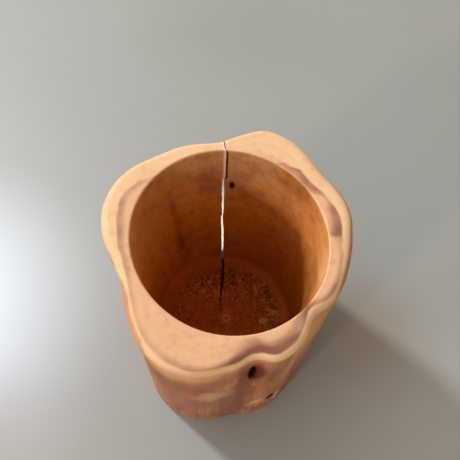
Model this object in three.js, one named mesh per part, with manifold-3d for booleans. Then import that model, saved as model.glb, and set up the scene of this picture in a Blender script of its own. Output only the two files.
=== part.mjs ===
// A cup bored out of a short length of debarked trunk, standing on its sawn base.
// The outside keeps the trunk's natural outline: broad lobes, two folds and a foot that flares.
// A drying crack runs through the back wall and the floor, and dead knots sit in their own sockets.
// Millimetres, +Z up. The origin is where the bore's axis meets the base.

import * as THREE from 'three';
import { mergeVertices } from 'three/addons/utils/BufferGeometryUtils.js';
import Module from 'manifold-3d';

// The whole cup
const HEIGHT = 96;
const FLOOR = 9;

// The bore, a little oval since the wood dried, with a cove at the floor and an eased mouth
const BORE_RADIUS = 30;
const BORE_OVAL = 0.9;
const BORE_OVAL_ANGLE = -58;
const COVE = 3;
const MOUTH_EASE = 0.6;
const PILOT_RADIUS = 0.8;
const PILOT_DEPTH = 1.6;

// The plain wall outside the bore, and how its edges are rounded
const RIM_WALL = 4.6;
const BASE_WALL = 9.5;
const FLARE = 1.5;
const RIM_ROUND = 3;
const FOOT_EASE = 1.2;
const ROUND_SHARE = 0.55;

// Lobes and folds of the trunk. Each lies at an angle round the axis, which the grain's twist may
// move between the rim and the foot, and spreads some degrees each way. It stands out from the
// plain wall by one amount at the rim and another at the foot, or cuts in where that is negative.
const LOBES = [
  { rimAngle: -110, footAngle: -116, spread: 46, rim: 8.1, foot: 6.2 },
  { rimAngle: -77, footAngle: -77, spread: 10, rim: -2.0, foot: 0.5 },
  { rimAngle: -66, footAngle: -66, spread: 25, rim: 3.8, foot: 2.2 },
  { rimAngle: -43, footAngle: -40, spread: 12, rim: -1.4, foot: 0.2 },
  { rimAngle: -24, footAngle: -24, spread: 31, rim: 1.8, foot: 0.1 },
  { rimAngle: 20, footAngle: 20, spread: 45, rim: 4.3, foot: 1.7 },
  { rimAngle: 68, footAngle: 68, spread: 36, rim: 7.7, foot: 3.0 },
  { rimAngle: 75, footAngle: 75, spread: 9, rim: 0.6, foot: 0 },
  { rimAngle: 115, footAngle: 115, spread: 23, rim: 1.8, foot: 0.3 },
  { rimAngle: 158, footAngle: 159, spread: 51, rim: 6.4, foot: 3.9 },
  { rimAngle: -162, footAngle: -162, spread: 20, rim: -0.4, foot: -1.6 },
];

// The swelling that the trunk grew over its branch scar
const SCAR_ANGLE = -62;
const SCAR_HEIGHT = 25;
const SCAR_SPREAD = 13;
const SCAR_REACH = 9;
const SCAR_RISE = 1.2;

// The drying crack, a wedge that is widest at the bark and ends beside the pith.
// Its course gives, for some heights, how far it lies from the axis plane at the bore's wall,
// and how far it moves sideways for each millimetre further out.
const CRACK_TIP = 2.8;
const CRACK_FOOT_TIP = 14;
const CRACK_RIM_WIDTH = 0.9;
const CRACK_FLOOR_WIDTH = 0.9;
const CRACK_END_WIDTH = 0.15;
const CRACK_COURSE = [
  [0, -2.8, -0.09],
  [30, -3.0, -0.06],
  [50, -3.4, -0.03],
  [55, -2.8, -0.07],
  [76, -2.75, -0.07],
  [80, -1.5, -0.2],
  [HEIGHT, -1.4, -0.2],
];

// Dead knots and ingrown bark: clearance in the socket, and each one's place and size
const SEAT_GAP = 0.3;
const KNOT_TAPER = 0.7;
const PIN_KNOT = { angle: 89.4, z: 75.3, halfWidth: 0.8, halfHeight: 1.7, length: 4, sunk: 0.3 };
const SCAR_KNOT = { angle: -64.4, z: 29.5, halfWidth: 1.1, halfHeight: 2.3, length: 6, sunk: 1, tilt: -34 };
const FOLD_BARK = { angle: -76.6, z: 73.5, halfWidth: 0.9, halfHeight: 7.8, length: 3, sunk: 1.6 };
const FLOOR_KNOT = { x: 17.1, y: -0.6, halfWidth: 1.5, halfHeight: 2.3, length: 4 };

// How finely the surfaces are faceted
const OUTSIDE_SIDES = 120;
const BORE_SIDES = 96;
const KNOT_SIDES = 14;
const EDGE_STEPS = 3;
const RING_SPACING = 8;
const CRACK_LEVELS = 26;
const CRACK_LAYERS = 5;
const CRACK_INSIDE_SHARE = 0.6;
const OVERRUN = 2;

const COLOURS = {
  wood: 0xc98a5c,
  knot: 0x4a2413,
  paleKnot: 0x8a4a24,
  bark: 0x2c160d,
};

const wasm = await Module();
wasm.setup();

const radians = THREE.MathUtils.degToRad;
const degrees = THREE.MathUtils.radToDeg;

// The smaller turn between two angles, in degrees
function turnBetween(a, b) {
  return Math.abs(THREE.MathUtils.euclideanModulo(a - b + 180, 360) - 180);
}

// A smooth swelling: 1 in the middle, 0 at its spread and beyond
function swell(distance, spread) {
  if (Math.abs(distance) >= spread) return 0;
  return Math.cos((Math.PI / 2) * (distance / spread)) ** 2;
}

// How far a height has gone from the rim, 0, to the foot, 1
function towardsFoot(z) {
  const down = THREE.MathUtils.clamp(1 - z / HEIGHT, 0, 1);
  return down ** FLARE;
}

// Thickness of wood outside the bore
function wall(angle, z) {
  const low = towardsFoot(z);
  let thickness = THREE.MathUtils.lerp(RIM_WALL, BASE_WALL, low);
  for (const lobe of LOBES) {
    const at = THREE.MathUtils.lerp(lobe.rimAngle, lobe.footAngle, low);
    const rise = THREE.MathUtils.lerp(lobe.rim, lobe.foot, low);
    thickness += rise * swell(turnBetween(angle, at), lobe.spread);
  }
  const scar = swell(turnBetween(angle, SCAR_ANGLE), SCAR_SPREAD) * swell(z - SCAR_HEIGHT, SCAR_REACH);
  return thickness + SCAR_RISE * scar;
}

function outsideRadius(angle, z) {
  return BORE_RADIUS + wall(angle, z);
}

// Closed, merged triangles of a geometry as a solid that can be cut
function solid(geometry) {
  const plain = geometry.clone();
  plain.deleteAttribute('normal');
  plain.deleteAttribute('uv');
  const merged = mergeVertices(plain, 1e-4);
  return new wasm.Manifold(
    new wasm.Mesh({
      numProp: 3,
      vertProperties: new Float32Array(merged.attributes.position.array),
      triVerts: new Uint32Array(merged.index.array),
    }),
  );
}

function geometryOf(manifold) {
  const mesh = manifold.getMesh();
  const geometry = new THREE.BufferGeometry();
  geometry.setAttribute('position', new THREE.BufferAttribute(new Float32Array(mesh.vertProperties), 3));
  geometry.setIndex(new THREE.BufferAttribute(new Uint32Array(mesh.triVerts), 1));
  geometry.computeVertexNormals();
  return geometry;
}

// A turned form about +Z. The place function moves each vertex, given its angle, radius and height.
function turned(profile, sides, place) {
  const geometry = new THREE.LatheGeometry(profile, sides);
  geometry.rotateX(Math.PI / 2);
  const position = geometry.attributes.position;
  for (let i = 0; i < position.count; i++) {
    const x = position.getX(i);
    const y = position.getY(i);
    const angle = Math.atan2(y, x);
    const [radius, z] = place(degrees(angle), Math.hypot(x, y), position.getZ(i));
    position.setXYZ(i, radius * Math.cos(angle), radius * Math.sin(angle), z);
  }
  return geometry;
}

// The trunk: a plain turned blank whose sides are pushed out to the lobed outline.
// Where the wall is thin, the rim's rounding shrinks with it.
function trunk() {
  const blank = BORE_RADIUS + BASE_WALL;
  const profile = [new THREE.Vector2(0, 0)];
  for (let i = 0; i <= EDGE_STEPS; i++) {
    const turn = (Math.PI / 2) * (i / EDGE_STEPS);
    profile.push(new THREE.Vector2(
      blank - FOOT_EASE * (1 - Math.sin(turn)),
      FOOT_EASE * (1 - Math.cos(turn)),
    ));
  }
  const straight = HEIGHT - FOOT_EASE - RIM_ROUND;
  const rings = Math.max(2, Math.round(straight / RING_SPACING));
  for (let i = 1; i < rings; i++) {
    profile.push(new THREE.Vector2(blank, FOOT_EASE + straight * (i / rings)));
  }
  for (let i = 0; i <= EDGE_STEPS; i++) {
    const turn = (Math.PI / 2) * (i / EDGE_STEPS);
    profile.push(new THREE.Vector2(
      blank - RIM_ROUND * (1 - Math.cos(turn)),
      HEIGHT - RIM_ROUND * (1 - Math.sin(turn)),
    ));
  }
  profile.push(new THREE.Vector2(0, HEIGHT));
  return turned(profile, OUTSIDE_SIDES, (angle, radius, z) => {
    if (radius < blank / 2) return [radius, z];
    const inset = blank - radius;
    if (z < HEIGHT - RIM_ROUND) return [outsideRadius(angle, z) - inset, z];
    const share = Math.min(1, (ROUND_SHARE * wall(angle, HEIGHT)) / RIM_ROUND);
    const height = HEIGHT - (HEIGHT - z) * share;
    return [outsideRadius(angle, height) - inset * share, height];
  });
}

// What the bit and the sanding took out: the bore, its cove, its eased mouth and the pilot hole
function bore() {
  const profile = [
    new THREE.Vector2(0, FLOOR - PILOT_DEPTH),
    new THREE.Vector2(PILOT_RADIUS, FLOOR),
  ];
  for (let i = 0; i <= EDGE_STEPS; i++) {
    const turn = (Math.PI / 2) * (i / EDGE_STEPS);
    profile.push(new THREE.Vector2(
      BORE_RADIUS - COVE * (1 - Math.sin(turn)),
      FLOOR + COVE * (1 - Math.cos(turn)),
    ));
  }
  for (let i = 0; i <= EDGE_STEPS; i++) {
    const turn = (Math.PI / 2) * (i / EDGE_STEPS);
    profile.push(new THREE.Vector2(
      BORE_RADIUS + MOUTH_EASE * (1 - Math.cos(turn)),
      HEIGHT - MOUTH_EASE * (1 - Math.sin(turn)),
    ));
  }
  profile.push(new THREE.Vector2(BORE_RADIUS + MOUTH_EASE, HEIGHT + OVERRUN));
  profile.push(new THREE.Vector2(0, HEIGHT + OVERRUN));
  return turned(profile, BORE_SIDES, (angle, radius, z) => {
    const oval = Math.cos(2 * radians(angle - BORE_OVAL_ANGLE));
    const share = Math.min(1, radius / BORE_RADIUS);
    return [radius + BORE_OVAL * oval * share, z];
  });
}

// The crack's distance from the axis plane at a height, and its slant there
function crackCourse(z) {
  const low = Math.max(0, CRACK_COURSE.findLastIndex(([height]) => height <= z));
  const high = Math.min(CRACK_COURSE.length - 1, low + 1);
  const [z0, x0, slant0] = CRACK_COURSE[low];
  const [z1, x1, slant1] = CRACK_COURSE[high];
  if (z1 === z0) return [x0, slant0];
  const share = THREE.MathUtils.smoothstep(z, z0, z1);
  return [THREE.MathUtils.lerp(x0, x1, share), THREE.MathUtils.lerp(slant0, slant1, share)];
}

// The gap itself, a tall thin wedge from beside the pith to outside the bark
function crack() {
  const farthest = BORE_RADIUS + BASE_WALL + RIM_WALL + OVERRUN;
  const geometry = new THREE.BoxGeometry(1, 1, 1, 1, CRACK_LAYERS, CRACK_LEVELS);
  const position = geometry.attributes.position;
  for (let i = 0; i < position.count; i++) {
    const side = Math.sign(position.getX(i));
    const outwards = position.getY(i) + 0.5;
    const upwards = position.getZ(i) + 0.5;
    const z = THREE.MathUtils.lerp(-OVERRUN, HEIGHT + OVERRUN, upwards);
    const tip = THREE.MathUtils.mapLinear(Math.min(z, FLOOR), 0, FLOOR, CRACK_FOOT_TIP, CRACK_TIP);
    const y = outwards < CRACK_INSIDE_SHARE
      ? THREE.MathUtils.mapLinear(outwards, 0, CRACK_INSIDE_SHARE, tip, BORE_RADIUS)
      : THREE.MathUtils.mapLinear(outwards, CRACK_INSIDE_SHARE, 1, BORE_RADIUS, farthest);
    const full = THREE.MathUtils.mapLinear(Math.max(z, FLOOR), FLOOR, HEIGHT, CRACK_FLOOR_WIDTH, CRACK_RIM_WIDTH);
    const width = Math.max(CRACK_END_WIDTH, full * Math.min(1, (y - tip) / (BORE_RADIUS - tip)));
    const [atBore, slant] = crackCourse(z);
    const middle = atBore + slant * Math.max(0, y - BORE_RADIUS);
    position.setXYZ(i, middle + (side * width) / 2, y, z);
  }
  return geometry;
}

// Part of an oval cone along +X. Its half sizes hold at the face, and it narrows towards the back.
function coneBetween(spec, back, face, from, to, grow) {
  const share = (x) => THREE.MathUtils.mapLinear(x, back, face, KNOT_TAPER, 1);
  const geometry = new THREE.CylinderGeometry(share(to), share(from), to - from, KNOT_SIDES);
  geometry.rotateZ(-Math.PI / 2);
  geometry.translate((from + to) / 2, 0, 0);
  geometry.scale(1, spec.halfWidth + grow, spec.halfHeight + grow);
  geometry.rotateX(radians(spec.tilt ?? 0));
  return geometry;
}

// A plug and its socket along +X: the plug ends at its face, and the socket runs on to the mouth
function plugAndSocket(spec, face, mouth) {
  const back = face - spec.length;
  return {
    plug: coneBetween(spec, back, face, back, face, 0),
    socket: coneBetween(spec, back, face, back - SEAT_GAP, mouth, SEAT_GAP),
  };
}

// A knot or bark seam that shows on the outside
function outsidePlug(spec) {
  const surface = outsideRadius(spec.angle, spec.z);
  const parts = plugAndSocket(spec, surface - spec.sunk, surface + OVERRUN);
  for (const geometry of Object.values(parts)) {
    geometry.rotateZ(radians(spec.angle));
    geometry.translate(0, 0, spec.z);
  }
  return parts;
}

// A knot that shows inside the bore, so it is wider at the bore and runs outwards
function insidePlug(spec) {
  const parts = plugAndSocket(spec, -BORE_RADIUS - spec.sunk, OVERRUN - BORE_RADIUS);
  for (const geometry of Object.values(parts)) {
    geometry.rotateZ(radians(spec.angle + 180));
    geometry.translate(0, 0, spec.z);
  }
  return parts;
}

// The knot that the bit cut level with the floor
function floorPlug(spec) {
  const parts = plugAndSocket(spec, FLOOR, FLOOR + OVERRUN);
  for (const geometry of Object.values(parts)) {
    geometry.rotateY(-Math.PI / 2);
    geometry.translate(spec.x, spec.y, 0);
  }
  return parts;
}

function cupBody(plugs) {
  let body = solid(trunk()).subtract(solid(bore()));
  body = body.subtract(solid(crack()));
  for (const { socket } of plugs) body = body.subtract(solid(socket));
  return geometryOf(body);
}

function piece(name, geometry, color, roughness) {
  const material = new THREE.MeshStandardMaterial({ color, roughness, metalness: 0 });
  const mesh = new THREE.Mesh(geometry, material);
  mesh.name = name;
  return mesh;
}

const pinKnot = insidePlug(PIN_KNOT);
const scarKnot = outsidePlug(SCAR_KNOT);
const foldBark = outsidePlug(FOLD_BARK);
const floorKnot = floorPlug(FLOOR_KNOT);

const cup = new THREE.Group();
cup.add(
  piece('cup_body', cupBody([pinKnot, scarKnot, foldBark, floorKnot]), COLOURS.wood, 0.6),
  piece('inner_pin_knot', pinKnot.plug, COLOURS.knot, 0.7),
  piece('floor_knot', floorKnot.plug, COLOURS.paleKnot, 0.7),
  piece('side_knot', scarKnot.plug, COLOURS.knot, 0.8),
  piece('fold_bark', foldBark.plug, COLOURS.bark, 0.9),
);

export default cup;
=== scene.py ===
"""The looks of a wooden cup bored from a log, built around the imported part.

Lengths are millimetres until a mesh is made. +Z is up, and the bore's axis is the Z axis.
Angles are degrees round that axis, from +X towards +Y.
"""

import math

import bpy
import numpy as np
from mathutils import Matrix, Vector


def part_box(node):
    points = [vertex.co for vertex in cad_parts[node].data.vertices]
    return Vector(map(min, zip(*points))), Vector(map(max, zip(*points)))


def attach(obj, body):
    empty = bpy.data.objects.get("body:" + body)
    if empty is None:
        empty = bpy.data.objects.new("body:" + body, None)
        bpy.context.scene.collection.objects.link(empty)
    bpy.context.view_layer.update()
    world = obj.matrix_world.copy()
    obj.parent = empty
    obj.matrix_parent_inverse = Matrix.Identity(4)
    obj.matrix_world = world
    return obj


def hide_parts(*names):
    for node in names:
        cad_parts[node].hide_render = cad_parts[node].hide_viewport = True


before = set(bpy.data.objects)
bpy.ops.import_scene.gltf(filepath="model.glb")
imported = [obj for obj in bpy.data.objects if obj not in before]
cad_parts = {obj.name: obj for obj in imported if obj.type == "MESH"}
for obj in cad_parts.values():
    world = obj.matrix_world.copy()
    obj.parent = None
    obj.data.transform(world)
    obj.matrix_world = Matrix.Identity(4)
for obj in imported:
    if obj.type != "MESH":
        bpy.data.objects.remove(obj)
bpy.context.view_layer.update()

MM = 0.001
PHOTO_SIDE = 460
ROOT = "root"

# The part's own sizes
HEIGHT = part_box("cup_body")[1].z / MM
FLOOR = 9
BORE_RADIUS = 30
BORE_OVAL = 0.9
BORE_OVAL_ANGLE = -58
COVE = 3
MOUTH_EASE = 0.6
PILOT_RADIUS = 0.8
PILOT_DEPTH = 1.6
TORN_RADIUS = 25.5
RIM_WALL = 4.6
BASE_WALL = 9.5
FLARE = 1.5
RIM_ROUND = 3
FOOT_EASE = 1.2
ROUND_SHARE = 0.55

# Lobes and folds of the trunk: angle at the rim, angle at the foot, spread, rise at each
LOBES = [
    (-110, -116, 46, 8.1, 6.2),
    (-77, -77, 10, -2, 0.5),
    (-66, -66, 25, 3.8, 2.2),
    (-43, -40, 12, -1.4, 0.2),
    (-24, -24, 31, 1.8, 0.1),
    (20, 20, 45, 4.3, 1.7),
    (68, 68, 36, 7.7, 3),
    (75, 75, 9, 0.6, 0),
    (115, 115, 23, 1.8, 0.3),
    (158, 159, 51, 6.4, 3.9),
    (-162, -162, 20, -0.4, -1.6),
]

# The swelling over the branch scar
SCAR = {"angle": -62, "z": 25, "spread": 13, "reach": 9, "rise": 1.2}

# The crack. In the wall, at the bore and outside: height, place across X, width. On the floor:
# distance from the axis, place across X.
CRACK_AT_BORE = [
    (0, -2.8, 0.85), (19, -2.8, 0.8), (35, -3, 0.75), (49, -3.4, 0.7),
    (51.5, -3.35, 0.35), (54, -2.85, 0.45), (56, -2.85, 0.7), (61, -2.85, 0.8),
    (73, -2.8, 0.85), (78.5, -2.75, 0.6), (80, -1.5, 0.85), (94.5, -1.4, 0.8),
    (HEIGHT, -1.4, 0.35),
]
CRACK_OUTSIDE = [
    (0, -3.5, 3.4), (20, -3.5, 2.4), (50, -3.4, 1.4), (68, -3.3, 1.2),
    (77, -3.4, 0.8), (80, -4, 0.5), (94.5, -3.7, 0.45), (HEIGHT, -3.6, 0.25),
]
CRACK_ON_FLOOR = [
    (2.8, -3), (9, -3.1), (13.6, -3), (15, -2.7),
    (18.7, -2.7), (20, -2.3), (25, -2.1), (30, -2.7),
]
CRACK_TIP = 2.8
CRACK_FOOT_TIP = 14
CRACK_FLOOR_WIDTH = 1.25
CRACK_FLOOR_LEAN = 0.22
CRACK_END_WIDTH = 0.12
CRACK_OPEN_AT = 20

# The paler torn wood left of the crack, painted lighter as a bevel in the light: its width and the
# height from which it shows
LIP_WIDTH = 0.7
LIP_FROM = 78.5

# The bead in front: how far it stands out under the rim, and the shallow groove inside it
BEAD = {"angle": -66, "spread": 46, "out": 0.9, "below_rim": 8}
GROOVE = {"angle": -68, "spread": 44, "from_edge": 3.8, "reach": 2.4, "deep": 0.5}

# Knots and ingrown bark, as ovals in their sockets
SEAT_GAP = 0.3
KNOT_TAPER = 0.7
PIN_KNOT = {"angle": 89.4, "z": HEIGHT - 20.7, "wide": 0.8, "tall": 1.7, "length": 4, "sunk": 0.3,
            "seed": 44, "dome": 0.4}
SCAR_KNOT = {"angle": -63.6, "z": 29.3, "wide": 1.15, "tall": 1.8, "length": 6, "sunk": 1,
             "tilt": -34, "seed": 21, "dome": 1}
FOLD_BARK = {"angle": -76.6, "z": HEIGHT - 22.5, "wide": 0.8, "tall": 7.8, "length": 3, "sunk": 1.6,
             "pointed": 1.3, "seed": 33, "dome": 1}
FLOOR_KNOT = {"x": 17.1, "y": -0.6, "wide": 1.5, "tall": 2.3, "length": 4, "seed": 55, "dome": 0.3}
PLUG_SHRINK = 0.03
SOCKET_RISE = 2

# The wood by angle: the sapwood's thickness, then the strength and the width of the stain inside
# it. A strength above 1 leaves no pale places.
WOOD_BY_ANGLE = [
    (-168, 3.4, 0.55, 1.7), (-153, 2.2, 0.5, 1.5), (-130, 2, 0.35, 1.3), (-109, 1.8, 0.5, 1.5),
    (-97, 0.5, 0.8, 1.5), (-90, 0.2, 1.1, 2), (-84, 0.2, 1.5, 2.8), (-78, 0.2, 1.65, 3.1),
    (-71, 0.9, 1.4, 2.7), (-63, 1, 1.25, 2.6), (-56, 0.9, 1.45, 2.7), (-50, 1.2, 1.5, 2.5),
    (-45, 1.6, 1.45, 2.4), (-40, 1.6, 1.1, 1.9), (-30, 1.6, 1, 1.5), (-12, 2.4, 0.5, 1.1),
    (-3, 3.4, 0.45, 1.4), (4, 3.8, 0.95, 3.5), (11, 4.4, 0.75, 3.1), (17, 4.8, 0.85, 2.6),
    (24, 5.6, 0.35, 1), (35, 6.1, 1.35, 2.6), (46, 6.5, 1.35, 2.7), (56, 9.6, 0.8, 1.5),
    (64, 12.4, 0.1, 1), (80, 13, 0.05, 1), (105, 7.6, 0, 1), (140, 8.4, 0.15, 1.2),
    (163, 5.6, 0.65, 1.9), (178, 4.9, 0.75, 2.3),
]
RING_RADIUS = 40

# The short dark ray across the stain on the right of the rim
RAY = {"angle": 2, "spread": 2.4, "below_edge": 3.4}

# How far below the rim the sanded bead gives way to the natural skin, by angle
SKIN_BELOW_RIM = [
    (-160, 1.8), (-148, 0.8), (-140, 0.45), (-125, 0.45), (-117, 2.2), (-110, 6.4),
    (-100, 9), (-88, 8.4), (-80, 7.5), (-75, 6.5), (-69, 4.4), (-60, 4.2),
    (-54, 4.8), (-46, 4.2), (-40, 3.2), (-34, 1.8), (-28, 1.2), (-15, 0.8),
    (0, 0.7), (30, 0.8), (50, 1.6), (120, 3), (175, 2.2),
]

# How much thinner the sapwood is inside the bore, and over what depth
SAP_THINS = 4
SAP_THINS_OVER = 30

# The patch of tan wood on the bore's back wall, widest at the rim
TAN = {"angle": 95, "half": 42, "from_z": 62}

# Patches on the skin in front: angle, height, half width, half height
PALE_PATCH = (-95, 56, 7, 10)
ORANGE_PATCHES = [(-97, 76, 6, 7), (-104, 58, 5, 10), (-68, 50, 7, 14)]

# Gold-toned painted light on the skin: beside the fold and under the rim, and painted highlights
# as a slanted streak and a small dab
PAINTED_LIGHT_BESIDE_FOLD = {"angle": -45, "spread": 24, "from_z": 20, "full_z": 64}
PAINTED_LIGHT_UNDER_RIM = {"angle": -104, "spread": 26, "from_z": 78, "full_z": 90, "strength": 0.7}
PAINTED_HIGHLIGHT_STREAK = {"angle": -72, "z": 24, "slant": 2, "wide": 4.5, "tall": 4, "strength": 0.65}
PAINTED_HIGHLIGHT_DAB = {"angle": -74.4, "z": 56.8, "wide": 1.6, "tall": 3.4, "strength": 0.3}

# The healed lip beside the scar knot, measured along and across the knot's tilt
HEALED_LIP = {"across": 3.4, "along": -0.2, "wide": 1.9, "tall": 2.8}

# The bark's dark pocket, dark bark with painted shade in its crevice, and the painted shade
# round it
POCKET = {"angle": -76.6, "aside": 0.3, "z": HEIGHT - 22.5, "wide": 1.5, "tall": 8.8}
POCKET_SHADE = {"angle": -76.6, "aside": 1, "z": HEIGHT - 21.5, "wide": 3.7, "tall": 11.3}

# Angle and spread: the bore's warm side, the painted shade on its mouth, the bead and the painted
# shade in the fold
WARM_SIDE = (14, 72)
MOUTH_SHADE = (48, 44)
BEAD_SIDE = (-72, 70)
FOLD_SHADE_SIDE = (-77, 22)

# The streak of stain in the bore: its angle at a height, its lean in degrees a millimetre, its
# spread, and the heights between which it widens, comes in above and ends below
STREAK = {"angle": 133, "at_z": 60, "lean": 0.1, "spread": 5,
          "widens": (62, 32), "comes_in": (95, 55), "ends": (14, 26)}

# Wide painted shade in the bore: angle, spread, darkness, and the heights where it starts and is full
WIDE_PAINTED_SHADES = [(-6, 60, 0.5, 72, 56), (52, 56, 0.3, 84, 54), (150, 34, 0.3, 55, 85)]

# A patch of painted light in the bore near the mouth, and patches of painted shade with how dark
# each is
PAINTED_LIGHT_IN_BORE = (-14, 86, 8, 13)
PAINTED_SHADES_IN_BORE = [
    ((100, 80, 10, 9), 0.5), ((89, 79, 7, 8), 0.5), ((76, 71, 10, 9), 0.45),
    ((58, 70, 14, 8), 0.35), ((38, 91, 12, 6), 0.5),
]

# The floor's marks: a darker place behind the pith, a pale fleck, and the pith's pale eye
DUSK = {"x": -1, "y": 20, "wide": 15, "deep": 8}
FLECK = {"x": -8.7, "y": 17.4, "radius": 0.5}
EYE_RADIUS = 2.3
EYE_EDGE = 1.7
EYE_DOT = 0.25

# Relief on the plain section, a layer each: height, size of its features, how drawn out they are
# along Z, octaves and seed
TRUNK_RELIEF = [(0.35, 12, 2.5, 1, 3), (0.14, 4.5, 4, 2, 7), (0.05, 1.2, 14, 2, 19)]
SANDING = [(0.14, 12, 1, 1, 5), (0.02, 2.4, 1, 2, 2)]
SANDED_DOWN = 0.12
CHATTER = [(0.04, 2.2, 14, 2, 4), (0.05, 9, 1, 1, 8)]
RIDGE_RISE = 0.7

# How finely the cup's skin is divided, round it and along its section
SIDES = 540
STEPS = {"under": 14, "foot": 5, "outside": 100, "round": 9, "rim": 16, "mouth": 7,
         "bore": 90, "cove": 8, "floor": 70}

# Where noise starts, off its own grid
NOISE_ORIGIN = (31.7, 17.3, 7.9)


# Shape of the trunk

def apart(a, b):
    """The degrees between two angles."""
    return np.abs((a - b + 180) % 360 - 180)


def swell(distance, spread):
    """1 in the middle, falling smoothly to 0 at the spread."""
    share = np.clip(np.abs(distance) / spread, 0, 1)
    return np.cos(0.5 * np.pi * share) ** 2


def smooth(x, low, high):
    t = np.clip((x - low) / (high - low), 0, 1)
    return t * t * (3 - 2 * t)


def fade(x, low, high):
    """1 up to low, falling smoothly to 0 at high."""
    return 1 - smooth(x, low, high)


def on_plan(angle, radius):
    return radius * np.cos(np.radians(angle)), radius * np.sin(np.radians(angle))


def wall(angle, z):
    """Thickness of wood outside the bore."""
    low = np.clip(1 - z / HEIGHT, 0, 1) ** FLARE
    thickness = RIM_WALL + (BASE_WALL - RIM_WALL) * low
    for rim_angle, foot_angle, spread, rim, foot in LOBES:
        at = rim_angle + (foot_angle - rim_angle) * low
        rise = rim + (foot - rim) * low
        thickness = thickness + rise * swell(apart(angle, at), spread)
    scar = swell(apart(angle, SCAR["angle"]), SCAR["spread"]) * swell(z - SCAR["z"], SCAR["reach"])
    return thickness + SCAR["rise"] * scar


def bead_out(angle, z):
    """How far the bead under the rim stands out from the trunk."""
    rise = smooth(z, HEIGHT - BEAD["below_rim"], HEIGHT - 0.15 * BEAD["below_rim"])
    return BEAD["out"] * rise * swell(apart(angle, BEAD["angle"]), BEAD["spread"])


def outside_radius(angle, z):
    return BORE_RADIUS + wall(angle, z) + bead_out(angle, z)


def bore_radius(angle):
    return BORE_RADIUS + BORE_OVAL * np.cos(2 * np.radians(angle - BORE_OVAL_ANGLE))


def lattice(i, j, k, seed):
    """A fixed value from -1 to 1 for each whole-numbered place."""
    mask = 0xFFFFFFFF
    mixed = (i * 374761393 + j * 668265263 + k * 1442695041 + seed * 69069) & mask
    mixed = ((mixed ^ (mixed >> 13)) * 1274126177) & mask
    mixed = ((mixed ^ (mixed >> 16)) * 668265263) & mask
    return (mixed ^ (mixed >> 15)) / mask * 2.0 - 1.0


def noise_at(x, y, z, size, tall=1, octaves=1, seed=0):
    """Noise from about -1 to 1 with features of a size, drawn out along Z by the tall factor."""
    total, share = 0, 1
    for octave in range(octaves):
        scale = 2.0 ** octave / size
        scales = (scale, scale, scale / tall)
        place = [np.asarray(v) * k + start for v, k, start in zip((x, y, z), scales, NOISE_ORIGIN)]
        low = [np.floor(p).astype(np.int64) for p in place]
        part = [p - q for p, q in zip(place, low)]
        u, v, w = [t * t * t * (t * (6 * t - 15) + 10) for t in part]
        corners = [[[lattice(low[0] + a, low[1] + b, low[2] + c, seed + octave) for c in (0, 1)]
                    for b in (0, 1)] for a in (0, 1)]
        along_z = [[corners[a][b][0] * (1 - w) + corners[a][b][1] * w for b in (0, 1)] for a in (0, 1)]
        along_y = [along_z[a][0] * (1 - v) + along_z[a][1] * v for a in (0, 1)]
        total = total + share * (along_y[0] * (1 - u) + along_y[1] * u)
        share *= 0.5
    return total


def relief_at(x, y, z, layers):
    return sum(height * noise_at(x, y, z, size, tall, octaves, seed)
               for height, size, tall, octaves, seed in layers)


def quarter(steps, first=1):
    """A quarter turn in steps, each as how far it has gone along and how far is left across."""
    turns = [0.5 * math.pi * step / steps for step in range(first, steps + 1)]
    return [(1 - math.cos(turn), 1 - math.sin(turn)) for turn in turns]


def profile(angle):
    """The kind, radius and height of each row of points, from the base's middle to the floor's."""
    n = STEPS
    outer_foot = outside_radius(angle, 0)
    rim_wall = outside_radius(angle, HEIGHT) - BORE_RADIUS
    rounding = np.minimum(RIM_ROUND, ROUND_SHARE * rim_wall)
    edge = BORE_RADIUS + rim_wall - rounding
    mouth = bore_radius(angle)
    depth = HEIGHT - MOUTH_EASE - FLOOR - COVE
    rows = []

    def add(kind, radius, z):
        rows.append((kind, radius + 0 * angle, z + 0 * angle))

    for t in np.arange(1, n["under"] + 1) / n["under"]:
        add("under", (outer_foot - FOOT_EASE) * t, 0)
    for along, left in quarter(n["foot"]):
        z = FOOT_EASE * along
        add("outside", outside_radius(angle, z) - FOOT_EASE * left, z)
    for t in np.arange(1, n["outside"]) / n["outside"]:
        z = FOOT_EASE + (HEIGHT - rounding - FOOT_EASE) * t
        add("outside", outside_radius(angle, z), z)
    for along, left in quarter(n["round"], 0):
        z = HEIGHT - rounding * left
        add("round", outside_radius(angle, z) - rounding * along, z)
    for t in np.arange(1, n["rim"] + 1) / n["rim"]:
        add("rim", edge + (mouth + MOUTH_EASE - edge) * t, HEIGHT)
    for along, left in quarter(n["mouth"]):
        add("mouth", mouth + MOUTH_EASE * left, HEIGHT - MOUTH_EASE * along)
    for t in np.arange(1, n["bore"] + 1) / n["bore"]:
        add("bore", mouth, HEIGHT - MOUTH_EASE - depth * t)
    for along, left in quarter(n["cove"]):
        add("cove", mouth - COVE * along, FLOOR + COVE * left)
    for t in 1 - np.arange(1, n["floor"]) / n["floor"]:
        radius = (mouth - COVE) * t
        add("floor", radius, FLOOR - PILOT_DEPTH * np.clip(1 - radius / PILOT_RADIUS, 0, 1))
    return [np.array(column) for column in zip(*rows)]


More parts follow.
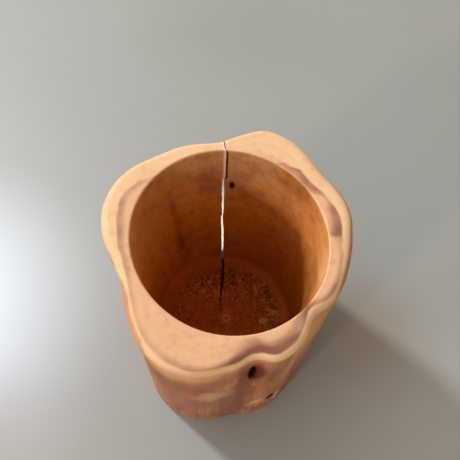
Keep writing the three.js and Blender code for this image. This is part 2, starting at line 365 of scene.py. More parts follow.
def hand_worked(kinds, angle, radius, z):
    """Moves the plain section: the trunk's fibres, the sanded rim and the floor's torn end grain."""
    kinds = kinds[:, None]
    x, y = on_plan(angle, radius)
    strength = smooth(z, 0.5, 6) * (0.3 + 0.7 * smooth(HEIGHT - z, 1, 10))
    aside = angle - SCAR["angle"]
    ridge = swell(aside + 7 + 0.9 * (z - SCAR["z"]), 5) * swell(aside + 8, 14)
    relief = relief_at(x, y, z, TRUNK_RELIEF) * strength + RIDGE_RISE * ridge
    radius = radius + np.where(np.isin(kinds, ("outside", "round")), relief, 0)

    level = np.isin(kinds, ("rim", "round", "mouth"))
    depth = outside_radius(angle, HEIGHT) - radius
    groove = GROOVE["deep"] * swell(depth - GROOVE["from_edge"], GROOVE["reach"])
    groove = groove * swell(apart(angle, GROOVE["angle"]), GROOVE["spread"])
    z = z - np.where(level, groove, 0)
    sanding = relief_at(x, y, 0 * z, SANDING) - SANDED_DOWN
    z = z + np.where(level, sanding, 0) * smooth(z, HEIGHT - 4, HEIGHT - 1)

    radius = radius - np.where(kinds == "bore", relief_at(x, y, z, CHATTER), 0)

    floor = np.isin(kinds, ("floor", "cove"))
    torn = 0.16 * noise_at(x, y, 0 * z, 1.4, 1, 3, 9) + 0.3 * curls(angle, radius)
    share = smooth(radius, 2, 5) * (1 - 0.8 * smooth(radius, TORN_RADIUS - 1, TORN_RADIUS + 1.5))
    z = z + np.where(floor, torn * share * smooth(FLOOR + 2 - z, 0, 1.5), 0)
    return radius, z


def curls(angle, radius):
    """Short bent strokes that run outwards from the pith, as the bit tears end grain."""
    x, y = on_plan(angle, radius)
    turn = np.radians(angle + 3.5 * noise_at(x, y, 0, 4, 1, 1, 61))
    strokes = noise_at(22 * np.cos(turn), 22 * np.sin(turn), radius / 2.2, 1, 1, 2, 62)
    return np.clip(strokes, -1, 1)


def cup_mesh():
    """The whole cup as one closed skin, before the crack and the sockets are cut."""
    angle = np.arange(SIDES) * 360 / SIDES
    kinds, radius, z = profile(angle)
    radius, z = hand_worked(kinds, angle, radius, z)
    grid = np.stack([*on_plan(angle, radius), z], -1).reshape(-1, 3)
    points = np.vstack([grid, [(0, 0, 0), (0, 0, FLOOR - PILOT_DEPTH)]]) * MM
    rows = len(kinds)
    return new_piece("cup", points, tube_faces(rows, SIDES, rows * SIDES, rows * SIDES + 1))


# Pieces and cuts

def new_object(name, data):
    made = bpy.data.objects.new(name, data)
    bpy.context.scene.collection.objects.link(made)
    return made


def new_piece(name, points, faces):
    mesh = bpy.data.meshes.new(name)
    mesh.from_pydata([tuple(p) for p in points], [], faces)
    mesh.update()
    return new_object(name, mesh)


def quads(grid):
    """Four-sided faces through a grid of point numbers."""
    corners = [grid[:-1, :-1], grid[1:, :-1], grid[1:, 1:], grid[:-1, 1:]]
    return np.stack(corners, -1).reshape(-1, 4).tolist()


def tube_faces(rows, sides, start, end):
    """Faces through rows of points round an axis, closed by a point at each end."""
    grid = np.arange(rows * sides).reshape(rows, sides)
    closed = np.hstack([grid, grid[:, :1]])
    ends = [(start, k, j) for j, k in zip(closed[0], closed[0][1:])]
    ends += [(j, k, end) for j, k in zip(closed[-1], closed[-1][1:])]
    return quads(closed.T) + [tuple(map(int, face)) for face in ends]


def course(rows, at, column=1):
    table = np.array(rows)
    return np.interp(at, table[:, 0], table[:, column])


def crack_tip(z):
    return CRACK_FOOT_TIP + (CRACK_TIP - CRACK_FOOT_TIP) * np.clip(z / FLOOR, 0, 1)


def in_the_wall(y, z, column):
    """The crack's place or width in the wall, between its values at the bore and at the outside."""
    outwards = smooth(y - BORE_RADIUS, 0, 1.2) * 0.3 + 0.7 * np.clip((y - BORE_RADIUS) / 8, 0, 1)
    inner = course(CRACK_AT_BORE, z, column)
    return inner + (course(CRACK_OUTSIDE, z, column) - inner) * outwards


def crack_middle(y, z):
    """Where the crack's middle lies across X, at a distance from the axis and a height."""
    on_floor = course(CRACK_ON_FLOOR, y) + CRACK_FLOOR_LEAN * np.clip(FLOOR - z, 0, FLOOR)
    raised = z + 2 * np.clip(y - BORE_RADIUS + 1, 0, 6)
    return on_floor + (in_the_wall(y, z, 1) - on_floor) * smooth(raised, FLOOR - 3, FLOOR + 3)


def crack_width(y, z):
    full = CRACK_FLOOR_WIDTH + (in_the_wall(y, z, 2) - CRACK_FLOOR_WIDTH) * smooth(z, FLOOR + 2, FLOOR + 8)
    opening = np.clip((y - crack_tip(z)) / (CRACK_OPEN_AT - crack_tip(z)), 0, 1)
    return np.maximum(CRACK_END_WIDTH, full * opening)


def crack_blade():
    """The gap as a thin ragged solid, to be cut out of the cup."""
    farthest = BORE_RADIUS + BASE_WALL + RIM_WALL + 3
    below, above = np.linspace(-2, HEIGHT - 1.2, 210), np.linspace(HEIGHT - 1, HEIGHT + 2, 16)
    levels = np.concatenate([below, above])
    across = np.concatenate([np.linspace(0, 0.97, 48), np.linspace(0.975, 1, 4)])
    beyond = np.concatenate([np.linspace(0.15, 1.5, 10), np.linspace(2, farthest - BORE_RADIUS, 16)])
    z = np.repeat(levels[:, None], len(across) + len(beyond), 1)
    inner = crack_tip(z[:, :1]) + (BORE_RADIUS - crack_tip(z[:, :1])) * across
    y = np.hstack([inner, BORE_RADIUS + np.repeat(beyond[None, :], len(levels), 0)])
    middle = crack_middle(y, z)
    width = crack_width(y, z)
    ragged = 0.13 * noise_at(0, y, z, 3.4, 1.6, 2, 12) * smooth(width, 0.2, 0.7)
    fret = 0.06 * noise_at(0, y, z, 0.9, 1.5, 2, 15) * smooth(width, 0.2, 0.5)
    left = middle - width / 2 + ragged + fret
    right = middle + width / 2 + ragged - fret
    points = np.vstack([np.stack([x, y, z], -1).reshape(-1, 3) for x in (left, right)]) * MM
    near = np.arange(z.size).reshape(z.shape)
    both = np.array([near, near + z.size])
    faces = quads(both[0]) + quads(both[1].T)
    faces += quads(both[:, :, 0]) + quads(both[:, :, -1].T)
    faces += quads(both[:, 0].T) + quads(both[:, -1])
    return new_piece("crack_blade", points, faces)


def oval_plug(name, spec, face, mouth, grow, dome):
    """An uneven oval cone along +X, up to its mouth. Its sizes hold at the face."""
    seed, back = spec["seed"], face - spec["length"]
    sides, layers, rings = 48, 10, 8
    turn = np.linspace(0, 2 * np.pi, sides, endpoint=False)
    uneven = 1 + 0.08 * noise_at(np.cos(turn), np.sin(turn), 0, 0.8, 1, 1, seed)
    bow = np.abs(np.cos(turn)) ** spec.get("pointed", 1)
    across = (spec["wide"] * uneven * bow + grow) * np.sign(np.cos(turn))
    across = np.where(np.abs(np.cos(turn)) < 1e-6, 0, across)
    upwards = (spec["tall"] * uneven + grow) * np.sin(turn)
    share = KNOT_TAPER + (1 - KNOT_TAPER) * (np.linspace(back, mouth, layers) - back) / (face - back)
    points = [(x, u * k, v * k) for x, k in zip(np.linspace(back, mouth, layers), share)
              for u, v in zip(across, upwards)]
    for ring in np.arange(rings - 1, 0, -1) / rings:
        u, v = across * share[-1] * ring, upwards * share[-1] * ring
        bulge = dome * (0.3 * (1 - ring ** 2) + 0.12 * noise_at(u * 2, v * 2, 0, 1, 1, 2, seed))
        points += list(zip(mouth + bulge, u, v))
    points.append((mouth + dome * 0.3, 0, 0))
    points.append((back, 0, 0))
    rows = layers + rings - 1
    faces = tube_faces(rows, sides, rows * sides + 1, rows * sides)
    return new_piece(name, np.array(points) * MM, faces)


def wall_place(spec, inwards=False):
    """Turns a plug along +X to its place in the wall."""
    turn = math.radians(spec["angle"] + (180 if inwards else 0))
    tilt = Matrix.Rotation(math.radians(spec.get("tilt", 0)), 4, "X")
    return Matrix.Translation((0, 0, spec["z"] * MM)) @ Matrix.Rotation(turn, 4, "Z") @ tilt


def plug_and_socket(name, spec, place, face, mouth):
    plug = oval_plug(name, spec, face, face, -PLUG_SHRINK, spec["dome"])
    socket = oval_plug(name + "_socket", spec, face, mouth, SEAT_GAP / 2, 0)
    for piece in (plug, socket):
        piece.data.transform(place)
    return plug, socket


def knots():
    """Each knot or bark seam with the solid that cuts its socket."""
    places = {}
    for name, spec in (("side_knot", SCAR_KNOT), ("fold_bark", FOLD_BARK)):
        surface = BORE_RADIUS + float(wall(spec["angle"], spec["z"]))
        places[name] = (spec, wall_place(spec), surface - spec["sunk"], surface)
    inwards = wall_place(PIN_KNOT, inwards=True)
    places["inner_pin_knot"] = (PIN_KNOT, inwards, -BORE_RADIUS - PIN_KNOT["sunk"], -BORE_RADIUS)
    upright = Matrix.Rotation(-math.pi / 2, 4, "Y")
    foot = Matrix.Translation((FLOOR_KNOT["x"] * MM, FLOOR_KNOT["y"] * MM, 0))
    places["floor_knot"] = (FLOOR_KNOT, foot @ upright, FLOOR, FLOOR)
    return {name: plug_and_socket(name, spec, place, face, surface + SOCKET_RISE)
            for name, (spec, place, face, surface) in places.items()}


def cut(piece, blades):
    """Cuts the blades out of a piece, for good, and deletes them."""
    for blade in blades:
        step = piece.modifiers.new("cut", "BOOLEAN")
        step.operation = "DIFFERENCE"
        step.solver = "MANIFOLD"
        step.object = blade
    bpy.context.view_layer.update()
    result = piece.evaluated_get(bpy.context.evaluated_depsgraph_get())
    mesh = bpy.data.meshes.new_from_object(result)
    mesh.materials.clear()
    piece.modifiers.clear()
    piece.data = mesh
    for blade in blades:
        bpy.data.objects.remove(blade)


# What each point of the wood is made of

def by_angle(angle, column, rows=WOOD_BY_ANGLE):
    """One column of a table by angle, smoothly between its stations and all the way round."""
    table = np.array(rows[-1:] + rows + rows[:1])
    table[0, 0] -= 360
    table[-1, 0] += 360
    stations, values = table[:, 0], table[:, column]
    at = np.clip(np.searchsorted(stations, angle, side="right") - 1, 0, len(rows))
    share = (angle - stations[at]) / (stations[at + 1] - stations[at])
    return values[at] + (values[at + 1] - values[at]) * share * share * (3 - 2 * share)


def oval_share(across, along, wide, tall):
    """0 in the middle of an oval, 1 on its edge, and more outside it."""
    return np.hypot(across / wide, along / tall)


class Place:
    """Points of the wood, each value an array: where they are and how deep in the wall."""

    def __init__(self, x, y, z):
        self.x, self.y, self.z = x, y, z
        self.radius = np.hypot(x, y)
        self.angle = np.degrees(np.arctan2(y, x))
        self.outside = outside_radius(self.angle, z)
        self.depth = self.outside - self.radius
        self.inside = self.radius < BORE_RADIUS + 1.7

    def noise(self, size, tall, octaves, seed):
        return noise_at(self.x, self.y, self.z, size, tall, octaves, seed)

    def near(self, angle, spread):
        """1 at an angle, falling smoothly to 0 at the spread."""
        return swell(apart(self.angle, angle), spread)

    def across(self, angle):
        """How far round the trunk from an angle, in millimetres."""
        return np.radians((self.angle - angle + 180) % 360 - 180) * self.radius

    def oval(self, spec, grow=0):
        """How far into an oval on the trunk: 0 in its middle, 1 on its edge."""
        across = self.across(spec["angle"]) - spec.get("aside", 0)
        rise = self.z - spec["z"] - spec.get("slant", 0) * across
        return oval_share(across, rise, spec["wide"] + grow, spec["tall"] + grow)

    def patch(self, spec, reach=1.2):
        """1 in the middle of a patch and 0 beyond its uneven edge."""
        angle, height, half_width, half_height = spec
        across = self.across(angle)
        share = oval_share(across, self.z - height, half_width, half_height)
        uneven = 0.25 * noise_at(across, 0, self.z, 4, 1, 2, angle % 9)
        return fade(share + uneven, 0.2, reach)


def wood_kinds(p):
    """Sapwood, the stain inside it, the rings and the ray, as the sawn rim shows them."""
    wander = 0.3 * p.noise(7, 6, 2, 17)
    thinning = SAP_THINS * smooth(HEIGHT - p.z, 0, SAP_THINS_OVER) * p.inside
    past_sap = p.depth - bead_out(p.angle, p.z) - by_angle(p.angle, 1) + wander + thinning
    width = by_angle(p.angle, 3)
    stain = smooth(past_sap, -0.35, 0.35) * fade(past_sap, 0.25 * width, 1.6 * width)
    stain = stain * by_angle(p.angle, 2) * (0.75 + 0.35 * p.noise(5, 4, 2, 23))
    tan_half = TAN["half"] * smooth(p.z, TAN["from_z"], HEIGHT - 2)
    tan_edge = apart(p.angle, TAN["angle"]) + 3 * p.noise(5, 1.5, 2, 71)
    tan_wood = fade(tan_edge, tan_half - 4, tan_half + 1) * smooth(tan_half, 2, 6)
    ray = p.near(RAY["angle"], RAY["spread"]) * smooth(p.radius, BORE_RADIUS - 0.5, BORE_RADIUS + 1)
    ray = ray * smooth(p.depth, RAY["below_edge"], RAY["below_edge"] + 1) * (p.z > HEIGHT - 6)
    in_bore = p.inside & (p.z < HEIGHT - 0.7)
    return {
        "ring": RING_RADIUS * p.radius / p.outside,
        "sapwood": np.where(in_bore, tan_wood, fade(past_sap, -0.4, 0.5)),
        "stain": np.clip(stain, 0, 1),
        "ray": ray,
        "below_rim": HEIGHT - p.z,
    }


def bore_marks(p):
    """The stain streak and the painted shade down the bored wall, its painted light and its warmer side.
    """
    wander = 2 * noise_at(p.z, 0, 0, 14, 1, 1, 29)
    middle = STREAK["angle"] + STREAK["lean"] * (p.z - STREAK["at_z"]) + wander
    stain_streak_and_shade = p.near(middle, STREAK["spread"] * (1 + smooth(p.z, *STREAK["widens"])))
    stain_streak_and_shade = stain_streak_and_shade * smooth(p.z, *STREAK["comes_in"]) * smooth(p.z, *STREAK["ends"])
    stain_streak_and_shade = stain_streak_and_shade * (0.6 + 0.6 * p.noise(6, 2, 2, 31))
    # Painted shade, wide and in patches, goes into the same mark as the stain streak
    for angle, spread, dark, start, full in WIDE_PAINTED_SHADES:
        stain_streak_and_shade = np.maximum(stain_streak_and_shade, dark * p.near(angle, spread) * smooth(p.z, start, full))
    for patch, dark in PAINTED_SHADES_IN_BORE:
        stain_streak_and_shade = np.maximum(stain_streak_and_shade, dark * p.patch(patch, 1.3))
    # Painted shade on the rim's rounded mouth, towards the back
    at_mouth = smooth(p.radius, BORE_RADIUS + 2.4, BORE_RADIUS + 1) * (p.z > HEIGHT - 1.5)
    return {
        "inside": p.inside * smooth(HEIGHT - p.z, 0.1, 0.9),
        "stain_streak_and_shade": np.clip(stain_streak_and_shade, 0, 1) * p.inside,
        "bore_warm": p.near(*WARM_SIDE) * p.inside,
        "painted_bore_light": p.patch(PAINTED_LIGHT_IN_BORE) * p.inside,
        "mouth": p.near(*MOUTH_SHADE) * at_mouth,
    }


def crack_marks(p):
    """The paler torn wood left of the crack near the rim, painted lighter as a bevel in the light."""
    beside = crack_middle(p.y, p.z) - crack_width(p.y, p.z) / 2 - p.x
    lip = smooth(beside, LIP_WIDTH + 0.25, LIP_WIDTH - 0.25) * smooth(beside, -0.6, -0.2)
    lip = lip * (p.y > 20) * smooth(p.z, LIP_FROM - 3, LIP_FROM + 4)
    return {"lit_torn_lip": lip * np.where(p.inside, 1, 0.35)}


def painted_light_on_skin(p):
    """The gold-toned painted light and highlights on the skin, as the strongest of the four at each point.
    """
    side, rim = [p.near(spec["angle"], spec["spread"]) * smooth(p.z, spec["from_z"], spec["full_z"])
                 for spec in (PAINTED_LIGHT_BESIDE_FOLD, PAINTED_LIGHT_UNDER_RIM)]
    uneven = np.clip(0.85 + 0.5 * noise_at(p.x, p.y, p.z / 3, 6, 1, 2, 75), 0, 1)
    return np.max([
        PAINTED_HIGHLIGHT_STREAK["strength"] * fade(p.oval(PAINTED_HIGHLIGHT_STREAK), 0.2, 1.1),
        PAINTED_HIGHLIGHT_DAB["strength"] * fade(p.oval(PAINTED_HIGHLIGHT_DAB), 0.2, 1),
        PAINTED_LIGHT_UNDER_RIM["strength"] * rim,
        uneven * side,
    ], axis=0)


def skin_marks(p):
    """Where the natural skin starts under the bead, the painted shade in its fold, the painted light
    on it and its coloured places.
    """
    bead_end = by_angle(p.angle, 1, SKIN_BELOW_RIM) * (1 + 0.3 * p.noise(6, 1, 2, 73))
    below_bead = smooth(HEIGHT - p.z, 0.3 * bead_end, 1.7 * bead_end)
    # Painted shade in the fold, where the wall sinks below the wall beside it
    around = np.mean([wall(p.angle + turn, p.z) for turn in (-9, -5, 5, 9)], axis=0)
    sunk = smooth(around - wall(p.angle, p.z), 0.02, 0.45)
    return {
        "skin": below_bead * smooth(-p.depth, -2.6, -1.2) * (p.z > 0.6),
        "bead": fade(p.depth, 0.9, 1.6) * (p.z > HEIGHT / 2) * p.near(*BEAD_SIDE),
        "painted_fold_shade": sunk * (0.35 + 0.65 * p.near(*FOLD_SHADE_SIDE)),
        "painted_skin_light": painted_light_on_skin(p) * ~p.inside,
        "pale": p.patch(PALE_PATCH) * ~p.inside,
        "orange": np.max([p.patch(patch) for patch in ORANGE_PATCHES], axis=0) * ~p.inside,
    }


def knot_marks(p):
    """Dark wood round the knots, dark bark and painted shade over the bark's pocket, the painted
    shade round it and the scar's healed lip.
    """
    beside, rise = p.across(SCAR_KNOT["angle"]), p.z - SCAR_KNOT["z"]
    lean = math.radians(-SCAR_KNOT["tilt"])
    across = beside * math.cos(lean) - rise * math.sin(lean)
    along = beside * math.sin(lean) + rise * math.cos(lean)
    slit = oval_share(across, along, SCAR_KNOT["wide"] + 0.1, SCAR_KNOT["tall"] + 0.1)
    across, along = across - HEALED_LIP["across"], along - HEALED_LIP["along"]
    lip = oval_share(across, along, HEALED_LIP["wide"], HEALED_LIP["tall"])

    pin_x, _ = on_plan(PIN_KNOT["angle"], BORE_RADIUS)
    dot = oval_share(p.x - pin_x, p.z - PIN_KNOT["z"], 0.9, 2.6)
    # Over the pocket: dark bark and painted shade in its crevice
    dark = np.maximum(fade(p.oval(POCKET), 0.75, 1.15), fade(slit, 0.8, 1.15)) * ~p.inside
    return {
        "dark_knot_and_pocket_shade": np.maximum(dark, 0.8 * fade(dot, 0.5, 1.5) * (p.y > 0) * p.inside),
        "painted_pocket_shade": fade(p.oval(POCKET_SHADE), 0.5, 1.1) * ~p.inside,
        "lip_light": fade(lip, 0.5, 1) * ~p.inside,
    }


def floor_marks(p):
    """The floor's torn end grain with painted light on its curls and painted shade in its tears, its
    darker places and its pale fleck.
    """
    on_floor = smooth(p.z, FLOOR + 1.6, FLOOR + 0.4) * smooth(p.z, 4, 7) * (p.radius < BORE_RADIUS + 1)
    torn = on_floor * smooth(p.radius, TORN_RADIUS + 1, TORN_RADIUS - 1) * smooth(p.radius, 2, 3.5)
    broken = noise_at(p.x, p.y, 0, 5, 1, 2, 43) + 0.7 * smooth(p.radius, 10, 22) - 0.3
    speck = noise_at(p.x, p.y, 0, 1.1, 1, 3, 41) + 0.35 * broken
    strokes = smooth(broken + 0.4 * smooth(p.x, -4, 16), -0.6, 0.9)
    bent = curls(p.angle, p.radius)
    behind = oval_share(p.x - DUSK["x"], p.y - DUSK["y"], DUSK["wide"], DUSK["deep"])
    fleck = np.hypot(p.x - FLECK["x"], p.y - FLECK["y"])
    return {
        "floor": on_floor,
        "radius": p.radius,
        # Painted light on the raised curls, and painted shade in the tears between them
        "painted_curl_light": torn * smooth(bent, 0.15, 0.7) * smooth(broken, -0.4, 0.6),
        "painted_tear_shade": torn * smooth(-bent, 0.2, 0.7) * smooth(broken, -0.4, 0.6),
        "speck": torn * smooth(speck, 0.6, 1.2),
        "strokes": torn * (0.35 + 0.65 * strokes),
        "dusk": torn * np.maximum(fade(behind, 0.4, 1.1), 0.8 * smooth(p.x, 2, 18)),
        "fleck": on_floor * fade(fleck, FLECK["radius"], FLECK["radius"] + 0.4),
    }


def vectors(items, key):
    """The x, y and z of a vector of each vertex or face of a mesh."""
    values = np.zeros(len(items) * 3)
    items.foreach_get(key, values)
    return values.reshape(-1, 3).T


def wood_attributes(piece):
    """Writes what the wood is at each point, for its material to read."""
    mesh = piece.data
    p = Place(*vectors(mesh.vertices, "co") / MM)
    for marks in (wood_kinds, bore_marks, crack_marks, skin_marks, knot_marks, floor_marks):
        for name, value in marks(p).items():
            layer = mesh.attributes.new(name, "FLOAT", "POINT")
            layer.data.foreach_set("value", np.asarray(value, np.float32))


def mark_socket_faces(x, y, z):
    """Which faces line the sockets on the outside, for a near-black lining of painted shade."""
    p = Place(x, y, z)
    found = np.zeros(len(x), bool)
    for spec in (SCAR_KNOT, FOLD_BARK):
        found |= (p.oval(spec, 1.5) < 1) & (p.depth > 0.4) & (p.radius > BORE_RADIUS + 1)
    return found


def mark_split_faces(piece, on_wall, deep, in_socket):
    """Gives the crack's own faces their materials: dark in the floor and in the narrow top, as painted
    shade.
    """
    mesh = piece.data
    x, y, z = vectors(mesh.polygons, "center") / MM
    reach = crack_width(y, z) / 2 + 0.3
    split = (y > CRACK_TIP - 0.5) & (np.abs(x - crack_middle(y, z)) < reach)
    split &= np.abs(vectors(mesh.polygons, "normal")[0]) > 0.35
    # Faces deep in the crack take a darker copy of the split wood, as painted shade
    deep_in = (z < FLOOR + 0.5) | (z > LIP_FROM)
    kind = np.where(deep_in, deep, on_wall)
    kind = np.where(split, kind, np.where(mark_socket_faces(x, y, z), in_socket, 0))
    mesh.polygons.foreach_set("material_index", kind.astype(np.int32))
    mesh.update()


# Materials

# Noise in the wood: size of its features, how drawn out along Z, detail, roughness and offset
GRAIN = {
    "cloud": (13, 2.5, 3, 0.55, 1),
    "fibre": (0.55, 26, 3, 0.6, 5),
    "coarse": (2.6, 14, 2, 0.5, 9),
    "speck": (0.5, 3, 2, 0.6, 2),
    "wobble": (9, 8, 2, 0.5, 3),
    "mottle": (4.5, 1.1, 4, 0.65, 12),
    "floor": (5, 1, 3, 0.6, 14),
    "skin": (10, 3.5, 3, 0.55, 4),
    "worn": (9, 3, 2, 0.5, 7),
}

# Two tones of each kind of wood
TONES = {
    "heart": ((222, 168, 129), (236, 187, 147)),
    "sap": ((232, 183, 140), (241, 199, 154)),
    "stain": ((110, 62, 46), (138, 83, 63)),
    "bead": ((255, 202, 154), (255, 213, 168)),
    "bore_low": ((210, 141, 44), (228, 163, 60)),
    "bore_high": ((214, 149, 82), (234, 172, 103)),
    "tan": ((206, 154, 104), (220, 169, 117)),
    "floor": ((180, 84, 6), (224, 130, 20)),
    "skin": ((152, 96, 69), (182, 124, 92)),
    "table": ((155, 155, 152), (161, 160, 157)),
}

# Tints laid over the wood in turn, each where a mark is high: the mark, the tint's strength and
# colour, and its blend if it isn't a plain mix
DARKEN = "MULTIPLY"
RIM_TINTS = [
    # Painted shade on the rounded mouth
    ("mouth", 0.4, (206, 142, 112)),
    ("ray", 0.6, (130, 82, 74)),
]
BORE_TINTS = [
    ("stain", 0.6, (190, 140, 120), DARKEN),
    # Painted light near the mouth
    ("painted_bore_light", 0.75, (255, 200, 140)),
    ("bore_warm", 0.65, (246, 222, 206), DARKEN),
    # The stain streak and the painted shade in the bore
    ("stain_streak_and_shade", 0.75, (150, 95, 75), DARKEN),
]
FLOOR_TINTS = [
    ("dusk", 0.5, (175, 115, 95), DARKEN),
    # Painted shade in the tears
    ("painted_tear_shade", 0.6, (150, 90, 62), DARKEN),
    ("speck", 0.7, (150, 84, 36), DARKEN),
    # Painted light on the raised curls
    ("painted_curl_light", 0.5, (244, 176, 84)),
]
SKIN_TINTS = [
    ("orange", 0.6, (202, 120, 68)),
    ("pale", 0.55, (226, 178, 140)),
    # Painted shade in the sunken fold
    ("painted_fold_shade", 0.4, (175, 115, 92), DARKEN),
    # Gold-toned painted light and highlights on the skin
    ("painted_skin_light", 0.95, (250, 184, 122)),
    # Painted shade round the bark's pocket
    ("painted_pocket_shade", 0.95, (122, 48, 8)),
    ("lip_light", 0.8, (244, 186, 150)),
]
LAST_TINTS = [
    # Paler torn wood with painted light, as on a lit bevel
    ("lit_torn_lip", 0.9, (255, 224, 206)),
    # Dark knots, and dark bark with painted shade over the pocket
    ("dark_knot_and_pocket_shade", 1, (78, 28, 12)),
]

# Fine bent strokes on the floor: size and offset of their noise, then a tint as above
FLOOR_STROKES = [
    (2.6, 22, 0.75, (120, 66, 40), DARKEN),
    (3.4, 27, 0.55, (250, 180, 70)),
    (4.4, 33, 0.5, (246, 170, 60)),
]

# Plain woods: dark and light tone, the grain's size, how drawn out it is, roughness, relief, gloss
PLAIN_WOODS = {
    "split_wood": ((236, 190, 162), (250, 216, 190), 0.8, 8, 0.7, 0.1, 0.28),
    # A darker copy of the split wood, as painted shade deep in the crack
    "split_in_shade": ((96, 48, 26), (136, 76, 46), 0.8, 3, 0.9, 0.1, 0.28),
    # Near black: painted shade lining the sockets, with the pocket's dark bark
    "socket_lining_in_shade": ((44, 15, 7), (70, 27, 13), 0.8, 3, 0.95, 0.1, 0),
    "dark_knot": ((38, 16, 9), (80, 36, 18), 0.7, 1, 0.85, 0.15, 0.1),
    "pale_knot": ((222, 148, 50), (248, 188, 84), 0.9, 1, 0.7, 0.12, 0.28),
    "ingrown_bark": ((52, 18, 8), (84, 34, 14), 0.6, 4, 0.95, 0.3, 0),
}
WOOD_GLOSS = 0.2
TABLE_GLOSS = 0.5


def srgb(red, green, blue):
    """A colour written as it looks, 0 to 255, as the linear values that a shader takes."""
    def linear(v):
        v = v / 255
        return v / 12.92 if v <= 0.04045 else ((v + 0.055) / 1.055) ** 2.4
    return (linear(red), linear(green), linear(blue), 1)


class Nodes:
    """The nodes of a world or a material."""

    def __init__(self, owner):
        owner.use_nodes = True
        self.tree = owner.node_tree

    def put(self, node, key, value):
        """Links a socket to an input, or writes a value to it."""
        if isinstance(value, bpy.types.NodeSocket):
            self.tree.links.new(value, node.inputs[key])
        else:
            node.inputs[key].default_value = value

    def node(self, kind, inputs=(), **settings):
        made = self.tree.nodes.new(kind)
        for key, value in settings.items():
            setattr(made, key, value)
        for key, value in dict(inputs).items():
            self.put(made, key, value)
        return made

    def math(self, operation, a, b=0):
        return self.node("ShaderNodeMath", {0: a, 1: b}, operation=operation).outputs[0]

    def times(self, a, b):
        return self.math("MULTIPLY", a, b)

    def vector(self, operation, inputs):
        return self.node("ShaderNodeVectorMath", inputs, operation=operation).outputs

    def between(self, value, low, high, to_low=0, to_high=1, ends="SMOOTHSTEP"):
        inputs = {"Value": value, "From Min": low, "From Max": high, "To Min": to_low, "To Max": to_high}
        return self.node("ShaderNodeMapRange", inputs, interpolation_type=ends).outputs[0]


class Shader(Nodes):
    """One material's nodes, with the materials' own ways to mix colours."""

    def __init__(self, name):
        self.material = bpy.data.materials.new(name)
        super().__init__(self.material)
        self.surface = self.tree.nodes["Principled BSDF"]
        self.coordinates = self.node("ShaderNodeTexCoord").outputs["Object"]

    def mark(self, name):
        return self.node("ShaderNodeAttribute", attribute_name=name).outputs["Fac"]

    def noise(self, size, tall=1, detail=2, rough=0.5, offset=0):
        """Noise from 0 to 1 with features of about that size in millimetres, drawn out along Z."""
        place = {"Vector": self.coordinates, "Scale": (1, 1, 1 / tall), "Location": (offset,) * 3}
        inputs = {"Scale": 1 / (size * MM), "Detail": detail, "Roughness": rough,
                  "Vector": self.node("ShaderNodeMapping", place).outputs[0]}
        return self.node("ShaderNodeTexNoise", inputs).outputs["Fac"]

    def grain(self, name):
        return self.noise(*GRAIN[name])

    def mix(self, factor, a, b, blend="MIX"):
        made = self.node("ShaderNodeMix", {0: factor, 6: a, 7: b}, data_type="RGBA", blend_type=blend)
        return made.outputs[2]

    def tones(self, factor, name):
        dark, light = TONES[name]
        return self.mix(factor, srgb(*dark), srgb(*light))

    def tint(self, colour, factor, strength, tint, blend="MIX"):
        """Lays a tint over a colour where the factor is high."""
        return self.mix(self.times(factor, strength), colour, srgb(*tint), blend)

    def shade(self, colour, factor, strength, tint):
        return self.tint(colour, factor, strength, tint, DARKEN)

    def tints(self, colour, rows):
        for name, *tint in rows:
            colour = self.tint(colour, self.mark(name), *tint)
        return colour

    def bump(self, height, distance, strength):
        inputs = {"Height": height, "Distance": distance * MM, "Strength": strength}
        return self.node("ShaderNodeBump", inputs).outputs["Normal"]

    def finish(self, colour, roughness, normal, gloss=WOOD_GLOSS):
        looks = {"Base Color": colour, "Roughness": roughness, "Normal": normal,
                 "Specular IOR Level": gloss}
        for key, value in looks.items():
            self.put(self.surface, key, value)
        return self.material


def growth_rings(s, spacing):
    """Thin late-wood lines that follow the trunk's outline, from 0 to 1."""
    ring = s.math("ADD", s.mark("ring"), s.times(s.grain("wobble"), 1.6))
    wave = s.math("SINE", s.times(ring, 2 * math.pi / spacing))
    return s.between(wave, 0.1, 1)


def rim_colour(s, cloud, fibre, coarse):
    """Sanded end grain: pale sapwood outside, a purple-brown stain, peach heartwood inside."""
    colour = s.mix(s.mark("sapwood"), s.tones(cloud, "heart"), s.tones(cloud, "sap"))
    colour = s.shade(colour, growth_rings(s, 0.95), 0.08, (232, 202, 182))
    colour = s.shade(colour, growth_rings(s, 3.7), 0.1, (230, 202, 184))
    colour = s.shade(colour, s.between(coarse, 0.5, 0.75), 0.4, (236, 204, 182))
    colour = s.shade(colour, s.between(fibre, 0.5, 0.8), 0.2, (232, 198, 176))
    colour = s.mix(s.times(s.mark("stain"), 0.95), colour, s.tones(cloud, "stain"))
    # The bead: sapwood, with a painted highlight palest at the crest and more orange below it
    low = s.between(s.mark("below_rim"), 1, 4)
    bead = s.mix(low, s.tones(cloud, "bead"), srgb(246, 166, 110))
    colour = s.mix(s.mark("bead"), colour, bead)
    return s.tints(colour, RIM_TINTS)


def bore_colour(s, cloud, coarse):
    """The bored wall: more orange than the rim, with its stain, its stain streak, its painted shade
    and a patch of painted light.
    """
    # Darker and more saturated lower down the wall, as painted shade
    upper = s.between(s.mark("below_rim"), 55, 10)
    bored = s.mix(upper, s.tones(cloud, "bore_low"), s.tones(cloud, "bore_high"))
    colour = s.mix(s.mark("sapwood"), bored, s.tones(cloud, "tan"))
    colour = s.shade(colour, growth_rings(s, 2.3), 0.14, (228, 196, 172))
    colour = s.shade(colour, s.between(coarse, 0.45, 0.7), 0.18, (228, 190, 160))
    colour = s.shade(colour, s.between(s.grain("mottle"), 0.4, 0.7), 0.55, (214, 172, 140))
    return s.tints(colour, BORE_TINTS)


